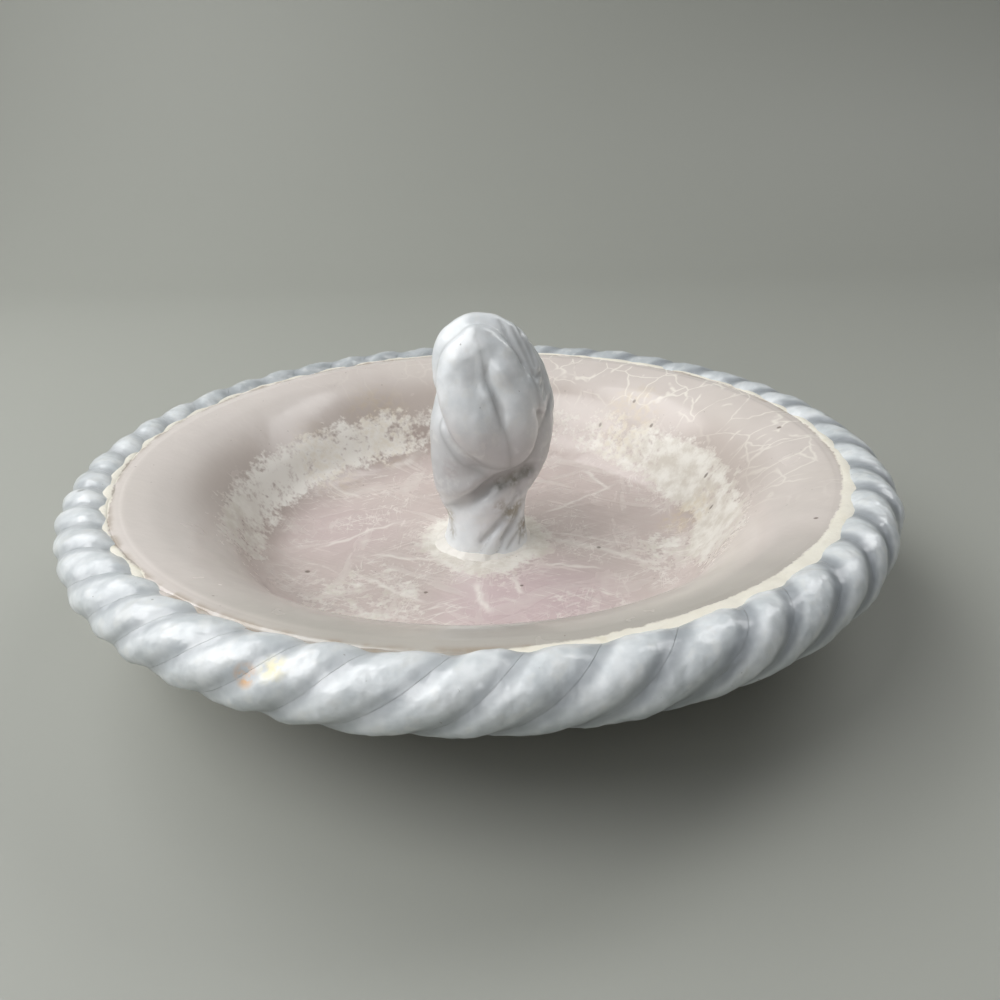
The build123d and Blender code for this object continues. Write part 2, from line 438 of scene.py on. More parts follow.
# %% [markdown]
# The cream line beside the rope is bare slip. The bowl and the bead of slip both show it, so both
# read the same table of how far it reaches in, all round the dish.

# %% The cream line that runs round beside the rope
rope_inner_edge = 49.6
cream_colours = ((228, 223, 208), (240, 237, 226))
cream_full_reach = 3.8
cream_hidden_reach = 0.4
cream_line_reach = (
    (0, 0.39), (14, 0.35), (43, 0.36), (50, 0.46), (62, 0.41), (72, 0.34), (108, 0.33), (150, 0.34),
    (180, 0.36), (192, 0.36), (196, 0.42), (201, 0.38), (207, 0.31), (218, 0.3), (223, 0.39),
    (227, 0.15), (231, 0.0), (264, 0.0), (270, 0.3), (284, 0.45), (295, 0.53), (325, 0.58),
    (344, 0.46),
)


def cream_line(spot):
    """1 on the line of slip, by how far its table says that it reaches in from the rope."""
    reach = spot.around(cream_line_reach) * cream_full_reach - cream_hidden_reach
    ragged = (spot.noise(2.4, 41, 3.0) - 0.5) * 1.0 + (spot.noise(0.6, 42) - 0.5) * 0.4
    inner_edge = rope_inner_edge - reach + ragged
    return (spot.radius - inner_edge).step(-0.1, 0.22)


# %% [markdown]
# The pink glaze was wiped on over cream clay, and has worn through on the wall, round the post
# and along scratches. It is built from the bottom up, as it would be painted: the glaze of the
# flange and of the floor, then the wiping, the wear, the scratches and the specks on top.

# %% The pink glaze of the bowl, in millimetres and degrees
floor_scratches = (
    ((8.0, 0.9), (26.0, -10.8), 1.1), ((8.0, -8.2), (17.0, -10.9), 0.5),
    ((18.3, 23.1), (21.8, 14.4), 0.6), ((-16.7, 24.7), (-9.7, 31.2), 0.8),
    ((-17.5, -10.0), (-7.3, -18.1), 0.6), ((-25.2, -2.4), (-12.5, 6.5), 0.6),
    ((-1.4, -12.3), (0.5, -20.9), 0.9), ((3.5, -11.3), (5.0, -16.5), 0.7),
    ((9.2, 6.8), (24.1, 17.3), 0.5), ((10.3, 1.5), (23.1, -4.9), 0.4),
    ((-32.0, 21.5), (-19.9, 14.5), 0.6), ((-16.8, -4.4), (-5.0, -6.6), 0.5),
)
glaze_specks = (
    (-25, -9, 0.5), (-8, -15, 0.4), (5, -14, 0.35), (17, -4.5, 0.45), (30, 22, 0.4), (28, 28, 0.4),
    (45, 4, 0.45), (38, -26, 0.35), (35, 5, 0.4), (34, -2, 0.35), (22, 28, 0.35),
)
worn_patches = (  # right, away, reach and strength, here and in the next table
    (26.5, -7, 9, 0.5), (-16, -16, 12, 0.48), (30, 9, 8, 0.3), (1, -12, 8, 0.3), (12, -5, 7, 0.2),
)
clay_patches = ((31, 1, 5, 0.5), (27, 26, 7, 0.4), (-27, 20, 7, 0.3), (-18, 31, 8, 0.3))
wiping = (  # degrees, width, seed and length; from and to which noise it is pale; fine lines
    (24, 2.6, 5, 7, 0.52, 0.72, 0.5, 0.014), (-31, 2.2, 6, 7, 0.53, 0.7, 0.47, 0.014),
    (82, 2.4, 7, 5, 0.55, 0.72, 0.52, 0.012),
)
wall_wear = (
    (0, 1.0), (20, 1.0), (40, 0.95), (55, 0.6), (70, 0.5), (95, 0.5), (112, 0.75), (125, 1.0),
    (170, 1.0), (190, 0.9), (205, 0.35), (240, 0.1), (300, 0.1), (325, 0.4), (340, 0.9),
)
crackle_reach = (
    (0, 0.9), (35, 1.0), (60, 0.9), (80, 0.5), (120, 0.2), (170, 0.12), (190, 0.0), (325, 0.0),
    (342, 0.6),
)


def flange_glaze(tree, spot, cloud, broad):
    """The glaze of the flange, which also runs over the slip beside it, with its crackle, painted
    shade near the front and painted light on the left.
    """
    colour = tree.blend(cloud, (204, 195, 189), (219, 211, 205))
    # painted shade: the near part of the flange is greyer
    front = spot.y.step(-24, -42) * spot.x.step(-38, -12)
    colour = tree.blend(front * 0.85, colour, (172, 168, 160))
    # painted light: the left part of the flange is paler
    left = spot.x.step(-22, -40)
    colour = tree.blend(left * 0.6, colour, (228, 221, 216))
    colour = tree.blend(broad.step(0.5, 0.72) * 0.3, colour, (216, 209, 200))
    tan = spot.radius.step(47.9, 48.8) * spot.noise(2.6, 43).step(0.4, 0.6)
    colour = tree.blend(tan * 0.6, colour, (156, 140, 120))
    round_dish = (spot.turn + 0.25).part() * 276
    polar = tree.place(round_dish, spot.radius * 0.42)
    short = spot.cracks(5.0, 2, 0.24, 0.3, polar) * spot.noise(4, 44).step(0.5, 0.6)
    net = (spot.cracks(6.8, 1, 0.26) * spot.noise(5, 9).step(0.4, 0.55)).at_least(short)
    net = net * spot.around(crackle_reach) * spot.radius.step(36.5, 39)
    return tree.blend(net * 0.9, colour, (238, 233, 224))


def pink_glaze_material():
    """From the bottom up: glaze, pale wiping, wear, scratches, specks and the cream line, with
    painted shade on the near flange and the walls and painted light on the left flange and the worn
    back left wall.
    """
    material, tree = new_material("pink_glaze_worn")
    spot = Spot(tree)
    radius = spot.radius
    broad = spot.noise(16, 1)
    cloud = spot.noise(5.5, 2, 3.0)
    fine = spot.noise(1.1, 3, 3.0)
    ragged = spot.noise(2.6, 4, 6.0, 0.68) - 0.5

    floor = tree.blend(cloud, (192, 179, 174), (208, 195, 190))
    mauve = spot.near(6, -19, 17, 5) * 0.8 + spot.near(-22, 4, 14, 2) * 0.4
    floor = tree.blend(mauve, floor, (194, 174, 176))
    in_well = (radius + ragged * 4).step(37.5, 32.5)
    colour = tree.blend(in_well, flange_glaze(tree, spot, cloud, broad), floor)
    # painted shade on the wall of the well, full at the back and fading towards the front
    painted_wall_shade = radius.step(29, 33) * radius.step(43, 38) * spot.y.step(-22, 0)
    colour = tree.blend(painted_wall_shade * 0.5, colour, (172, 158, 149))

    strokes, pale, lines = [], 0.0, 0.0
    for degrees, size, seed, length, low, high, level, width in wiping:
        stroke = spot.strokes(degrees, size, seed, length)
        pale = stroke.step(low, high).at_least(pale)
        lines = (stroke - level).size().step(width, 0.0).at_least(lines)
        strokes.append(stroke)
    on_floor = radius.step(34, 29)
    pale = pale * on_floor
    colour = tree.blend(pale * (1 - mauve * 0.5) * 0.52, colour, (216, 209, 202))

    wall = radius.step(29.8, 33.4) * radius.step(39.4, 35.6)
    wear = wall * spot.around(wall_wear) * 0.72 + radius.step(12.5, 7.5) * 0.85
    wear = wear + spot.patches(worn_patches)
    gritty = spot.noise(0.5, 18, 3.0) - 0.5
    worn = (wear + ragged * 1.4 + (fine - 0.5) * 0.9 + gritty * 0.6).step(0.32, 0.74)
    worn = worn * wear.step(0.03, 0.16)
    patchy = spot.noise(2.4, 16, 5.0, 0.62).step(0.36, 0.64)
    wear_and_painted_light_colour = tree.blend(patchy, (206, 200, 189), (231, 228, 220))
    # painted light: the wear on the back left wall, which lies in shade, is made whiter
    shaded = spot.near(-24, 20, 30, 14)
    wear_and_painted_light_colour = tree.blend(shaded, wear_and_painted_light_colour, (246, 243, 236))
    colour = tree.blend(worn * 0.94, colour, wear_and_painted_light_colour)
    clay = spot.patches(clay_patches) * fine.step(0.35, 0.7)
    colour = tree.blend(clay, colour, (206, 190, 158))

    lines = lines * spot.noise(6, 8).step(0.4, 0.62)
    for start, end, width in floor_scratches:
        lines = lines.at_least(spot.along_line(start, end, width))
    lines = lines * on_floor
    colour = tree.blend(lines * 0.75, colour, (230, 224, 217))

    specks = spot.patches([(x, y, size, 1) for x, y, size in glaze_specks])
    grit = spot.noise(0.55, 10, 1.0).step(0.76, 0.8)
    colour = tree.blend((specks + grit * 0.6).at_most(1.0) * 0.75, colour, (92, 74, 62))

    cream = cream_line(spot)
    colour = tree.blend(cream, colour, tree.blend(spot.noise(2.2, 11), *cream_colours))
    roughness = 0.24 + worn * 0.24 + pale * 0.1 + cream * 0.2 + (cloud - 0.5) * 0.2
    height = (broad - 0.5) * 0.9 + (cloud - 0.5) * 0.5 + worn * 0.06 + lines * 0.07
    wiped = (strokes[0] + strokes[1] - 1.0) * on_floor
    height = height + wiped * 0.5 + (fine - 0.5) * 0.06
    finish_material(tree, colour, roughness, height, 0.3 * mm, coat=0.22, level=0.6)
    return material


pink_glaze = pink_glaze_material()
print("made", pink_glaze.name)


# %% [markdown]
# The blue glaze is pale where it is thin and grey where it lies thick, and its grooves and creases
# are darkened further with painted shade. A shader can't know where a groove lies, so each piece
# carries a mark: the rope says how near a point is to the crest of its strand, and the post says
# how deep it lies in a crease.

# %% The blue-grey glaze of the rope and the post
def blue_glaze_material(name, colours, mark_name=None, stain_and_shade_spots=(), low_shade_and_back_grey=None):
    """From the bottom up: glaze, painted shade low down, glaze gathered thick in hollows with
    painted shade, what stayed thin, and spots of stain, some of them painted shade.
    """
    thin, thick, pooled_and_shaded = colours
    material, tree = new_material(name)
    spot = Spot(tree)
    on_post = mark_name == "crease"
    broad = spot.noise(9, 11)
    cloud = spot.noise(2.4, 12, 3.0, 0.55)
    fine = spot.noise(0.7, 13, 3.0)
    colour = tree.blend(cloud.step(0.3, 0.7), thick, thin)
    colour = tree.blend(broad.step(0.45, 0.7) * 0.5, colour, thick)
    if low_shade_and_back_grey:
        # painted shade: the rope is darker towards its underside; it is also greyer towards the
        # back of the dish
        blotch = spot.noise(3.4, 17).step(0.42, 0.66)
        low = spot.z.step(19.5, 13.5) * 0.5 + spot.y.step(8, 40) * 0.45
        colour = tree.blend((low + blotch * 0.25).at_most(1.0), colour, low_shade_and_back_grey)
    if on_post:
        # painted shade: the lower half of the knot is greyer than its lit top
        painted_knot_shade = spot.z.step(30, 20) * spot.z.step(12.5, 15.5)
        colour = tree.blend(painted_knot_shade * 0.9, colour, (192, 193, 194))
    if mark_name:
        mark = tree.add("Attribute", out=2, attribute_name=mark_name)
        hollow = mark if on_post else mark.step(0.8, 0.1)
        # stronger on the right of the rope: painted shade on the side away from the windows
        strength = 0.8 if on_post else spot.x.step(-25, 35, 0.34, 0.7)
        colour = tree.blend(hollow * strength, colour, pooled_and_shaded)
        high = hollow.step(0.25, 0.0) * spot.noise(1.5, 14, 3.0).step(0.5, 0.66)
        colour = tree.blend(high * 0.45, colour, (222, 224, 222))
    grit = spot.noise(0.5, 15, 1.0).step(0.76, 0.8)
    colour = tree.blend(grit * 0.5, colour, (105, 98, 92))
    mottle = spot.noise(0.8, 16, 3.0).step(0.35, 0.6)
    # spots of stain, and on the post some spots of painted shade
    for x, y, z, reach, stain, strength in stain_and_shade_spots:
        here = spot.around_place(x, y, z, reach) * mottle * strength
        colour = tree.blend(here, colour, stain)
    roughness = 0.4 + (cloud - 0.5) * 0.25
    height = (cloud - 0.5) * 0.5 + (fine - 0.5) * 0.14
    finish_material(tree, colour, roughness, height, 0.24 * mm, coat=0.45, level=0.8)
    return material


# thin, thick and hollow colours; the hollow colour is thick glaze together with painted shade in
# the grooves
rope_colours = ((232, 236, 238), (206, 212, 215), (120, 126, 133))
post_colours = ((234, 237, 239), (219, 224, 227), (122, 123, 121))
rope_stains = (
    (-20.4, -50.5, 19.9, 1.5, (220, 166, 98), 1.0), (-18.0, -50.8, 21.2, 2.1, (232, 222, 176), 1.0),
    (52.4, 4.6, 21.3, 0.8, (96, 92, 84), 0.8), (49.0, 17.5, 21.2, 0.7, (96, 92, 84), 0.8),
    (-51.0, 13.4, 21.4, 0.8, (110, 106, 98), 0.7), (-49.6, -15.0, 21.4, 0.7, (100, 98, 92), 0.8),
)
post_stains_and_shade = (
    (4.2, -3.5, 10.6, 2.2, (128, 118, 88), 0.7), (6.0, -1.9, 7.4, 2.4, (122, 112, 84), 0.8),
    (-5.6, -2.6, 10.0, 2.4, (132, 122, 78), 0.8), (-5.2, -3.4, 7.6, 1.8, (120, 110, 80), 0.6),
    (-4.2, -5.6, 18.6, 2.2, (176, 168, 170), 0.4), (2.7, -7.8, 29.8, 0.8, (132, 132, 122), 0.7),
    (2.6, -4.9, 12.4, 1.8, (150, 144, 128), 0.5), (5.4, -2.6, 11.0, 1.6, (140, 132, 104), 0.6),
    # the three spots from here on lie along the crease under the loop: partly stain, partly painted
    # shade of the undercut
    (2.6, -4.6, 15.8, 1.6, (118, 118, 104), 0.7), (4.6, -3.9, 16.0, 1.8, (110, 110, 94), 0.8),
    (6.4, -3.0, 16.8, 1.6, (118, 118, 104), 0.7),
)
rope_glaze = blue_glaze_material(
    "blue_glaze_rope", rope_colours, "swell", rope_stains, low_shade_and_back_grey=(146, 154, 158)
)
post_glaze = blue_glaze_material("blue_glaze_post", post_colours, "crease", post_stains_and_shade)
core_glaze = blue_glaze_material("blue_glaze_core", rope_colours)
print("made", rope_glaze.name, post_glaze.name, core_glaze.name)

# %% [markdown]
# The slip in the joints is unglazed clay, rough and cream. The bead by the rope is bare only along
# the cream line, and elsewhere the glaze of the flange runs over it.


# %% The bare slip in the joints
def cream_slip_material():
    material, tree = new_material("cream_slip_bare")
    spot = Spot(tree)
    cloud = spot.noise(1.3, 21, 3.0)
    fine = spot.noise(0.4, 22)
    broad, slow = spot.noise(16, 1), spot.noise(5.5, 2, 3.0)
    by_rope = spot.radius.step(20, 30)
    at_foot = tree.blend(cloud, (212, 208, 201), (229, 226, 219))
    at_rope = tree.blend(spot.noise(2.2, 11), *cream_colours)
    colour = tree.blend(by_rope, at_foot, at_rope)
    glazed = by_rope * (1 - cream_line(spot))
    colour = tree.blend(glazed, colour, flange_glaze(tree, spot, slow, broad))
    stain = spot.noise(2.0, 23).step(0.6, 0.72) * (1 - glazed)
    colour = tree.blend(stain * 0.25, colour, (196, 184, 146))
    roughness = 0.24 + (1 - glazed) * 0.2 + (slow - 0.5) * 0.2
    bare = (cloud - 0.5) * 0.4 + (fine - 0.5) * 0.2
    height = bare * (1 - glazed) + ((broad - 0.5) * 0.9 + (slow - 0.5) * 0.5) * glazed
    finish_material(tree, colour, roughness, height, 0.3 * mm, coat=0.22, level=0.6)
    return material


cream_slip = cream_slip_material()
print("made", cream_slip.name)

# %% [markdown]
# ## Shared shaping tools
#
# The dish, the slip and the post are all clay that a hand has pressed, so no face is quite even.
# Soft random lumps could come from a Displace modifier, but its textures can't be limited to one
# place on a piece. Plain arrays can, so the lumps are worked out here, for many points at once.

# %% Lumps, smooth curves and outward faces
def lumps(points, size, seed):
    """Smooth random heights from -1 to 1, as wide as size, at every point."""
    spots = np.asarray(points) / size
    corner = np.floor(spots).astype(np.int64)
    share = spots - corner
    share = share * share * (3 - 2 * share)
    total = np.zeros(len(spots))
    for step in np.ndindex(2, 2, 2):
        key = corner + step
        mixed = key[:, 0] * 374761393 + key[:, 1] * 668265263 + key[:, 2] * 974634757
        mixed = (mixed + seed * 2246822519) & 0xFFFFFFFF
        mixed = ((mixed ^ (mixed >> 13)) * 1274126177) & 0xFFFFFFFF
        height = ((mixed ^ (mixed >> 16)) & 0xFFFF) / 0x7FFF - 1
        total += height * np.prod(np.where(step, share, 1 - share), axis=1)
    return total


def smooth_through(stops, count):
    """Points along a smooth curve through the stops, count to each run."""
    stops = np.array(stops, float)
    padded = np.vstack([2 * stops[0] - stops[1], stops, 2 * stops[-1] - stops[-2]])
    runs = []
    for before, first, second, after in zip(padded, padded[1:], padded[2:], padded[3:]):
        share = np.linspace(0, 1, count, endpoint=False)[:, None]
        runs.append(
            first
            + share * (second - before) / 2
            + share**2 * (before - 2.5 * first + 2 * second - after / 2)
            + share**3 * (1.5 * (first - second) + (after - before) / 2)
        )
    return np.vstack(runs + [stops[-1:]])


def ring_table(azimuths, stops):
    """A value that changes round the dish, from (degrees, value) pairs."""
    degrees, values = np.array(stops, float).T
    return np.interp(np.degrees(azimuths) % 360, degrees, values, period=360)


def face_outwards(piece):
    """Turn the faces of a closed mesh outwards, by the sign of its volume."""
    mesh = piece.data
    mesh.calc_loop_triangles()
    points = np.empty(len(mesh.vertices) * 3)
    mesh.vertices.foreach_get("co", points)
    points = points.reshape(-1, 3)
    corners = np.empty(len(mesh.loop_triangles) * 3, int)
    mesh.loop_triangles.foreach_get("vertices", corners)
    first, second, third = points[corners.reshape(-1, 3)].transpose(1, 0, 2)
    volume = np.einsum("ij,ij->i", first, np.cross(second, third)).sum() / 6
    if volume < 0:
        mesh.flip_normals()
    print(piece.name, len(mesh.loop_triangles), "triangles,", round(abs(volume) / mm**3), "mm3")


def azimuths_of(steps):
    return np.arange(steps) * 2 * math.pi / steps


def spun(reach, height, azimuths):
    """Points round the axis, at each reach from it and each height."""
    return np.stack(
        [reach * np.cos(azimuths), reach * np.sin(azimuths), height + 0 * azimuths], -1
    )


def ring_mesh(name, rings, closed):
    """A skin over rings of points. Where it is closed, the last ring joins the first."""
    count, steps = rings.shape[:2]
    here = np.arange(steps)
    ahead = (here + 1) % steps
    faces = []
    for row in range(count if closed else count - 1):
        near, far = row * steps, (row + 1) % count * steps
        faces.append(np.stack([near + here, near + ahead, far + ahead, far + here], -1))
    return mesh_object(name, rings.reshape(-1, 3), np.vstack(faces))


def dress(piece, node, glaze=None):
    """Turn a finished piece's faces outwards, glaze it if it is given a glaze, attach it to the
    root and hide the solid of the frame that it stands for.
    """
    face_outwards(piece)
    if glaze:
        piece.data.materials.append(glaze)
    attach(piece, "root")
    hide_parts(node)


# %% [markdown]
# ## The rope rim
#
# The rim of the dish is a rope of three strands of clay, twisted together and pressed round the
# edge. An array of leaves bent on a circle would repeat one leaf, and the hand-made ones differ.
# So a Geometry Nodes tree bends a flat grid instead: along the grid is the way round the rim,
# and across it the way round one strand. The grooves stand where a table of angles puts them,
# so every leaf has its own width, and noise gives each its own swell.

# %% Measures of the rope
rope_circle = 51.4 * mm
rope_axis_height = 17.8 * mm
rope_crest = 3.58 * mm
rope_groove = 3.18 * mm
rope_core = 2.2 * mm
rope_strands = 3
rope_leaves = 45
rope_lump = 5.2 * mm
groove_tube_angle = 75
lean_swing = 1.9
lean_tube_angle = 35
leaf_edge = 1.25
outer_part = 0.76
inner_wall = 0.02
sharp_bend = 0.7
weld_distance = 0.002 * mm
groove_azimuths = (
    265.0, 272.0, 279.5, 287.5, 296.3, 302.5, 311.0, 318.5, 325.5, 335.0, 342.5, 352.5, 361.5,
    371.0, 379.5, 386.8, 395.5, 405.0, 413.5, 422.5, 431.0, 440.0, 449.0, 458.0, 467.0, 475.0,
    482.5, 491.5, 499.5, 507.5, 516.5, 525.0, 533.0, 540.5, 548.0, 554.5, 560.7, 567.1, 574.0,
    582.0, 588.8, 595.3, 602.8, 610.2, 616.8,
)


def leaf_curve_stops():
    """Share of the way round the rim, and share of the leaves that lie behind it."""
    turned = np.array(groove_azimuths + (groove_azimuths[0] + 360,))
    leaves_at_start = np.interp(360, turned, np.arange(rope_leaves + 1))
    stops = [(0.0, 0.0)]
    for leaf, azimuth in enumerate(turned[:-1]):
        share = azimuth / 360 % 1
        count = leaf - leaves_at_start + (rope_leaves if azimuth < 360 else 0)
        stops.append((share, count / rope_leaves))
    return sorted(stops) + [(1.0, 1.0)], leaves_at_start


leaf_stops, leaves_at_start = leaf_curve_stops()
print(len(leaf_stops), "stops;", round(leaves_at_start, 2), "leaves before the +X side")


# %% A node group with named inputs, and the mesh that it grows
def new_growth(name, inputs):
    group = bpy.data.node_groups.new(name, "GeometryNodeTree")
    kinds = {float: "NodeSocketFloat", int: "NodeSocketInt"}
    for title, value in inputs.items():
        socket = group.interface.new_socket(title, in_out="INPUT", socket_type=kinds[type(value)])
        socket.default_value = value
    group.interface.new_socket("Glaze", in_out="INPUT", socket_type="NodeSocketMaterial")
    group.interface.new_socket("Mesh", in_out="OUTPUT", socket_type="NodeSocketGeometry")
    tree = Tree(group.nodes, group.links, "GeometryNode")
    source = tree.add("NodeGroupInput").socket.node
    given = {socket.name: Reading(tree, socket) for socket in source.outputs if socket.name}
    return group, tree, given


def grown(name, group, values):
    piece = bpy.data.objects.new(name, bpy.data.meshes.new(name + "_seed"))
    bpy.context.scene.collection.objects.link(piece)
    modifier = piece.modifiers.new("growth", "NODES")
    modifier.node_group = group
    for item in group.interface.items_tree:
        if item.in_out == "INPUT" and item.name in values:
            modifier[item.identifier] = values[item.name]
    evaluated = piece.evaluated_get(bpy.context.evaluated_depsgraph_get())
    mesh = bpy.data.meshes.new_from_object(evaluated)
    piece.modifiers.remove(modifier)
    piece.data = mesh
    mesh.name = name
    return piece


# %% The tree that bends one strand
def rope_strand_growth():
    group, tree, given = new_growth(
        "rope_strand",
        {
            "Rope circle": rope_circle, "Axis height": rope_axis_height, "Crest": rope_crest,
            "Groove": rope_groove, "Core": rope_core, "Strands": float(rope_strands),
            "Leaves": float(rope_leaves), "Strand": 0.0, "Lump size": rope_lump,
            "Lump height": 0.34 * mm, "Fine lump height": 0.13 * mm, "Along": 1500, "Across": 42,
        },
    )
    grid = tree.add(
        "MeshGrid",
        {"Size X": 1.0, "Size Y": 1.0, "Vertices X": given["Along"], "Vertices Y": given["Across"]},
    )
    share = tree.add("SeparateXYZ", {0: tree.add("InputPosition")})
    along = share + 0.5
    across = Reading(tree, share.socket.node.outputs["Y"]) + 0.5
    up = (across / outer_part).at_most(1.0)
    down = ((across - outer_part) / (1 - outer_part)).at_least(0.0)
    width = up - down
    inside = down.at_most(inner_wall) * (1 / inner_wall)
    leaf = tree.curve(along, leaf_stops) * given["Leaves"] + leaves_at_start
    tube_angle = (leaf - given["Strand"] - width) * (2 * math.pi) / given["Strands"]
    tube_angle = tube_angle + math.radians(groove_tube_angle)
    lean = (tube_angle + math.radians(lean_tube_angle)).sin()
    settled = math.sin(math.radians(lean_tube_angle + groove_tube_angle))
    azimuth = along * (2 * math.pi) + (lean - settled) * math.radians(lean_swing)
    edge = (width * 2 - 1).size() ** leaf_edge
    swell = 1 - edge * edge * (3 - edge * 2)
    radius = given["Groove"] + (given["Crest"] - given["Groove"]) * swell
    radius = radius + (given["Core"] - radius) * inside

    def on_tube(distance):
        reach = tube_angle.cos() * distance + given["Rope circle"]
        height = tube_angle.sin() * distance + given["Axis height"]
        return tree.place(reach * azimuth.cos(), reach * azimuth.sin(), height)

    def lump(place, size, number):
        return (tree.noise(place, number, size, 1.0) - 0.5) * 2

    plain = on_tube(radius)
    swelling = lump(plain, given["Lump size"], 3.0) * given["Lump height"] * (swell + 0.25)
    pressing = lump(plain, given["Lump size"] * 0.24, 9.0) * given["Fine lump height"]
    shaped = on_tube(radius + (swelling + pressing) * (1 - inside))
    marked = tree.add(
        "StoreNamedAttribute", {"Geometry": grid, "Name": "swell", "Value": swell},
        data_type="FLOAT", domain="POINT",
    )
    bent = tree.add("SetPosition", {"Geometry": marked, "Position": shaped})
    joined = tree.add("MergeByDistance", {"Geometry": bent, "Distance": weld_distance})
    shaded = tree.add("SetShadeSmooth", {"Geometry": joined})
    soft_bend = (sharp_bend - tree.add("InputMeshEdgeAngle")).at_least(0.0)
    shaded = tree.add(
        "SetShadeSmooth", {"Geometry": shaded, "Shade Smooth": soft_bend}, domain="EDGE"
    )
    real = tree.add("RealizeInstances", {"Geometry": shaded})
    glazed = tree.add("SetMaterial", {"Geometry": real, "Material": given["Glaze"]})
    tree.add("NodeGroupOutput", {0: glazed})
    return group


strand_growth = rope_strand_growth()
for number in range(rope_strands):
    strand = grown(
        f"rope_strand_{number + 1}_clay", strand_growth,
        {"Strand": float(number), "Glaze": rope_glaze},
    )
    dress(strand, f"rim_strand_{number + 1}")

# %% [markdown]
# ## The bowl
#
# The bowl was turned on a wheel, so its outline is one curve spun round the axis. A Screw
# modifier would spin it dead true. Here the rings of points are worked out one by one, so the
# shoulder can wander, the flange can dip and the floor can keep the marks of the throwing.

# %% Turn the bowl
floor_height = 4.6 * mm
bowl_steps = 440
bowl_inside = (
    (0.0, 4.6), (4.0, 4.6), (9.2, 4.6), (18.0, 4.78), (28.0, 5.2), (32.6, 7.7), (36.0, 12.4),
    (39.8, 16.5), (43.2, 18.8), (46.6, 20.1), (47.7, 20.3), (48.7, 20.35),
)
bowl_edge = ((48.9, 20.2), (49.0, 19.8), (48.6, 17.6), (48.0, 16.3))
bowl_under = ((47.3, 15.6), (44.4, 14.0), (38.6, 8.4), (33.4, 2.9), (31.6, 1.3))
bowl_foot = (
    (31.0, 0.6), (30.4, 0.12), (29.6, 0.0), (28.0, 0.0), (27.3, 0.12), (26.9, 0.8), (26.2, 1.5),
    (25.2, 1.6), (12.0, 1.6), (0.0, 1.6),
)
throwing_mark = 1.15 * mm
wall_circle, wall_spread = 36.5 * mm, 5.0 * mm
still_edge, edge_fade = 48.5 * mm, 4 * mm
still_middle, middle_fade = 7 * mm, 3 * mm


def bowl_rings():
    """The outline spun round the axis, with lumps that fade out at the rope and the post."""
    inside = smooth_through(bowl_inside, 11)
    edge = smooth_through(bowl_edge, 3)
    under = smooth_through(bowl_under, 9)
    foot = np.array(bowl_foot)
    outline = np.vstack([inside, edge, under, foot]) * mm
    azimuths = azimuths_of(bowl_steps)
    reach, height = outline[:, None, 0], outline[:, None, 1]
    shown = np.arange(len(outline))[:, None] < len(inside)
    flat = spun(reach, height, azimuths)
    spread = flat.reshape(-1, 3)
    slow = lumps(spread, 17 * mm, 5).reshape(flat.shape[:2])
    fast = lumps(spread, 4.5 * mm, 6).reshape(flat.shape[:2])
    marks = np.sin(reach / throwing_mark + 2.5 * slow) * shown
    on_wall = np.exp(-((reach - wall_circle) / wall_spread) ** 2) * shown
    loose = np.clip((still_edge - reach) / edge_fade, 0, 1) * shown
    loose = loose * np.clip((reach - still_middle) / middle_fade, 0, 1)
    height = height + loose * (0.13 * slow + 0.045 * fast + 0.012 * marks) * mm
    reach = reach + on_wall * (0.42 * slow + 0.1 * fast) * mm * loose
    return spun(reach, height, azimuths)


def close_poles(piece):
    """Points that a ring of no width leaves at the axis become one."""
    work = bmesh.new()
    work.from_mesh(piece.data)
    bmesh.ops.remove_doubles(work, verts=work.verts, dist=weld_distance)
    work.to_mesh(piece.data)
    work.free()


bowl = ring_mesh("bowl_clay", bowl_rings(), closed=False)
close_poles(bowl)
shade_smooth(bowl)
dress(bowl, "dish_bowl", pink_glaze)

# %% [markdown]
# ## The slip in the two joints
#
# Slip is runny clay, brushed into a joint as glue. Round the rim it dried as a low uneven bead
# between the flange and the rope, and round the foot of the post as a thin flat skirt. A plain
# swept tube would look like a gasket, so the width and the fullness change round the dish.

# %% Lay the rim's bead and the post's collar
bead_steps = 900
bead_circle = 47.9 * mm
bead_outer_reach = 50.2
bead_sole = 19.6
bead_least_width = 0.5
flange_line = bowl_inside[-3:] + ((bead_outer_reach, 20.3),)
collar_steps = 300
collar_circle = 7 * mm
collar_section = (
    (5.3, 5.2, 0), (5.9, 5.12, 0.3), (6.2, 5.02, 0.6), (6.4, 4.92, 0.9), (6.6, 4.82, 1),
    (6.8, 4.73, 1), (7.0, 4.64, 1), (7.2, 4.4, 1), (6.6, 4.2, 0), (5.3, 4.2, 0),
)


def slip_bead():
    """Rings across the bead, its outer side hidden in the rope."""
    azimuths = azimuths_of(bead_steps)
    circle = spun(bead_circle, 0, azimuths)
    reach_in = ring_table(azimuths, cream_line_reach) * cream_full_reach - cream_hidden_reach
    inner = rope_inner_edge - np.maximum(reach_in, bead_least_width) - 0.15
    inner = inner + 0.3 * lumps(circle, 2.4 * mm, 13)
    fullness = 0.12 + 0.34 * ring_table(azimuths, cream_line_reach)
    fullness = fullness + 0.08 * lumps(circle, 2.6 * mm, 11) + 0.03 * lumps(circle, 0.9 * mm, 12)
    share = np.linspace(0, 1, 15)[:, None]
    across = inner + share * (bead_outer_reach - inner)
    flange = np.interp(across, *np.array(flange_line).T)
    top = flange - 0.1 + fullness * np.sin(math.pi * share) ** 0.7
    under = np.stack([np.full(bead_steps, 50.0), inner * 0.5 + 25, inner + 0.3])
    reach = np.vstack([across, under]) * mm
    height = np.vstack([top, np.full(under.shape, bead_sole)]) * mm
    return spun(reach, height, azimuths)


